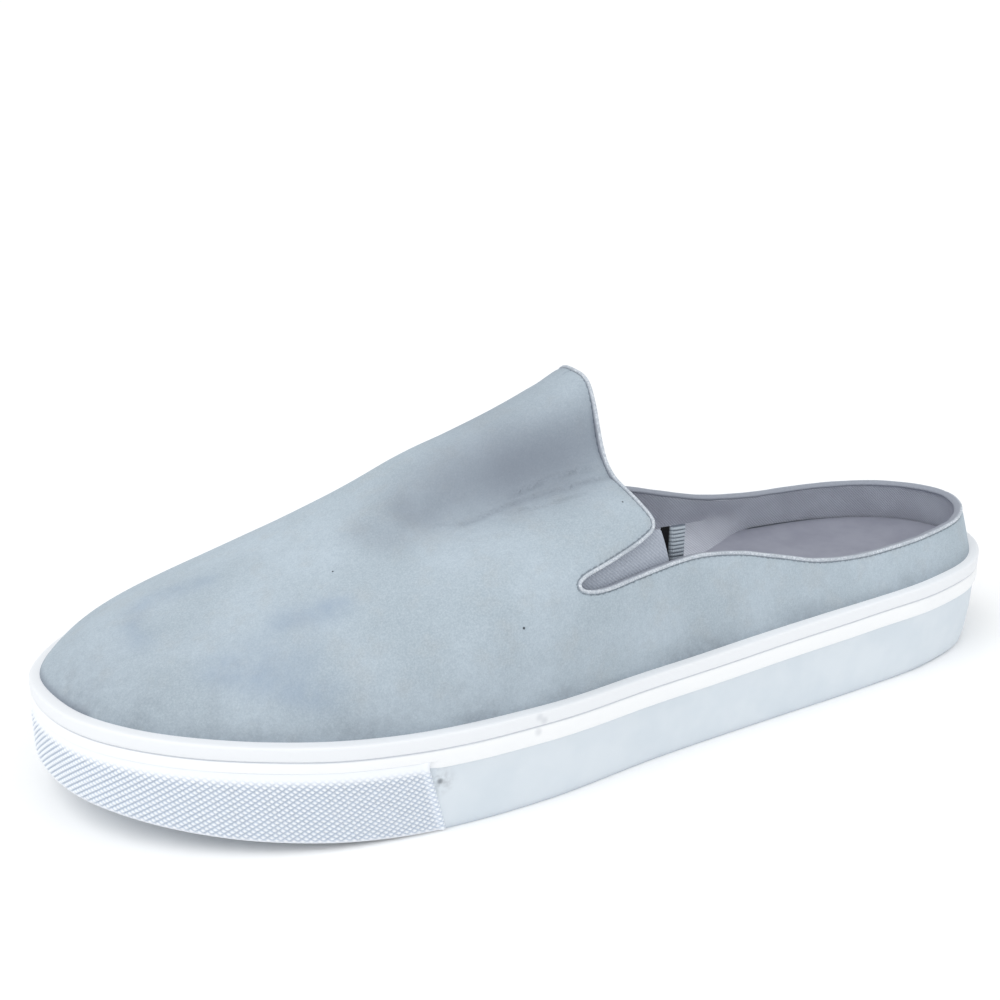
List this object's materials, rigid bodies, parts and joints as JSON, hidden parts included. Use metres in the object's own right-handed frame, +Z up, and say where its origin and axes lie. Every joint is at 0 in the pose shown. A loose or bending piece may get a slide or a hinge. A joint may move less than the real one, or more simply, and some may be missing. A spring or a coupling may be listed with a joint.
{
  "type": "sneaker mule",
  "caption": "Backless slip-on sneaker for the left foot, with a low heel rim, a tall vamp flap, side notches with elastic gores, a white foxed rubber sole and a textured toe bumper.",
  "frame": {"origin": "on the ground, under the middle of the shoe's bounding box", "axes": "-X towards the toe, +X towards the heel, -Y the outer (lateral) side, +Z up"},
  "size_m": [0.28, 0.1004, 0.0921],
  "materials": {
    "nubuck": "light blue-grey nubuck with a short dull nap",
    "binding": "pale grey twill tape",
    "gore": "grey twill over elastic",
    "gore_tape": "blue-grey ribbed elastic",
    "insole": "smooth grey lining leather",
    "foxing": "white satin rubber",
    "bumper": "white matt rubber with a fine raised diamond texture",
    "sole": "white matt rubber"
  },
  "bodies": {
    "root": {"upper": "nubuck", "collar_binding": "binding", "gore_lateral": "gore", "gore_medial": "gore", "gore_tape_lateral": "gore_tape", "gore_tape_medial": "gore_tape", "insole": "insole", "foxing_band": "foxing", "toe_bumper": "bumper", "sole": "sole"}
  },
  "joints": []
}
